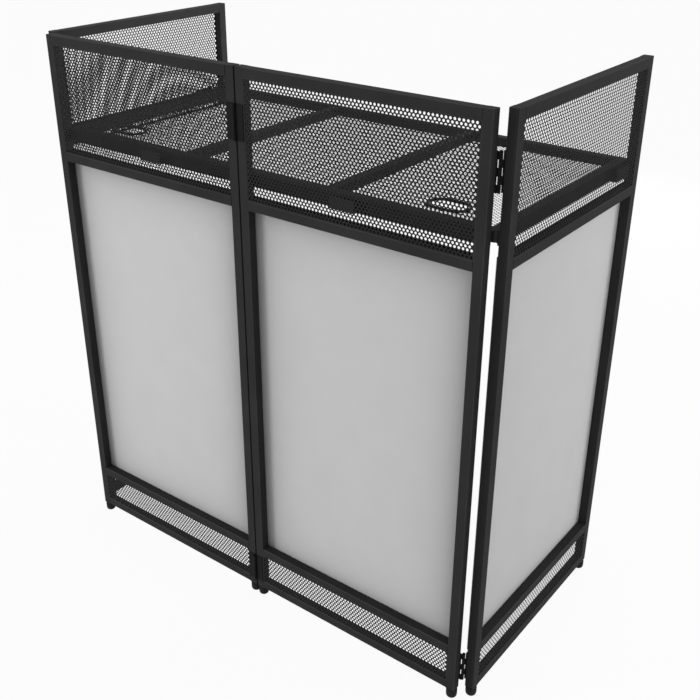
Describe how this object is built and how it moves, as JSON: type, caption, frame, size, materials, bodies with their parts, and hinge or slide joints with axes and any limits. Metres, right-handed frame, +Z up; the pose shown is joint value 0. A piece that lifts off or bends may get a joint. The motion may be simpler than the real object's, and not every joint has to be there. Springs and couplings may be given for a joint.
{
  "type": "folding dj booth",
  "caption": "Folding DJ booth: hinged black tube-frame panels with perforated strips and pale cloth scrims, around a lift-out perforated table with cable grommets on rubber feet.",
  "frame": {"origin": "on the floor under the middle of the booth, which is the centre of the bottom of its bounding box", "axes": "+X to the right as the audience sees it, +Y from the front panels back to the user, +Z up"},
  "size_m": [1.0734, 0.5358, 1.152],
  "materials": {
    "frame_paint": "satin black powder coat on steel tube",
    "mesh_paint": "satin black powder coat on perforated steel sheet",
    "hinge_paint": "black powder coat on steel hinge leaves and pins",
    "foot_rubber": "matt black rubber",
    "scrim_cloth": "pale grey-white stretch knit",
    "hook_and_loop": "black hook-and-loop tape",
    "grommet_plastic": "matt black moulded plastic"
  },
  "bodies": {
    "left_front": {"left_front_posts": "frame_paint", "left_front_rails": "frame_paint", "left_front_feet": "foot_rubber", "left_front_upper_mesh": "mesh_paint", "left_front_lower_mesh": "mesh_paint", "left_front_scrim": "scrim_cloth", "left_front_scrim_tape": "hook_and_loop", "left_front_table_ledge": "frame_paint", "left_front_mesh_tie": "frame_paint", "seam_hinge_left_leaves": "hinge_paint", "seam_hinge_pins": "hinge_paint", "left_corner_hinge_front_leaves": "hinge_paint", "left_corner_hinge_pins": "hinge_paint"},
    "right_front": {"right_front_posts": "frame_paint", "right_front_rails": "frame_paint", "right_front_feet": "foot_rubber", "right_front_upper_mesh": "mesh_paint", "right_front_lower_mesh": "mesh_paint", "right_front_scrim": "scrim_cloth", "right_front_scrim_tape": "hook_and_loop", "right_front_table_ledge": "frame_paint", "right_front_mesh_tie": "frame_paint", "seam_hinge_right_leaves": "hinge_paint", "right_corner_hinge_front_leaves": "hinge_paint", "right_corner_hinge_pins": "hinge_paint"},
    "left_wing": {"left_wing_posts": "frame_paint", "left_wing_rails": "frame_paint", "left_wing_feet": "foot_rubber", "left_wing_upper_mesh": "mesh_paint", "left_wing_lower_mesh": "mesh_paint", "left_wing_scrim": "scrim_cloth", "left_wing_scrim_tape": "hook_and_loop", "left_wing_table_ledge": "frame_paint", "left_wing_mesh_tie": "frame_paint", "left_corner_hinge_wing_leaves": "hinge_paint"},
    "right_wing": {"right_wing_posts": "frame_paint", "right_wing_rails": "frame_paint", "right_wing_feet": "foot_rubber", "right_wing_upper_mesh": "mesh_paint", "right_wing_lower_mesh": "mesh_paint", "right_wing_scrim": "scrim_cloth", "right_wing_scrim_tape": "hook_and_loop", "right_wing_table_ledge": "frame_paint", "right_wing_mesh_tie": "frame_paint", "right_corner_hinge_wing_leaves": "hinge_paint"},
    "table": {"table_front_rail": "frame_paint", "table_rear_rail": "frame_paint", "table_left_rail": "frame_paint", "table_right_rail": "frame_paint", "table_cross_bars": "frame_paint", "table_corners": "frame_paint", "table_left_mesh": "mesh_paint", "table_middle_mesh": "mesh_paint", "table_right_mesh": "mesh_paint", "cable_grommets": "grommet_plastic"}
  },
  "joints": [
    {"name": "seam_fold", "type": "hinge", "parent": "left_front", "child": "right_front", "pos_m": [0, -0.26488, 0.5], "axis": [0, 0, -1], "range_deg": [0, 180]},
    {"name": "left_wing_fold", "type": "hinge", "parent": "left_front", "child": "left_wing", "pos_m": [-0.512, -0.23738, 0.5], "axis": [0, 0, 1], "range_deg": [0, 90]},
    {"name": "right_wing_fold", "type": "hinge", "parent": "right_front", "child": "right_wing", "pos_m": [0.512, -0.23738, 0.5], "axis": [0, 0, -1], "range_deg": [0, 90]},
    {"name": "table_lift", "type": "slide", "parent": "left_front", "child": "table", "axis": [0, 0, 1], "range_m": [0, 0.25]}
  ]
}
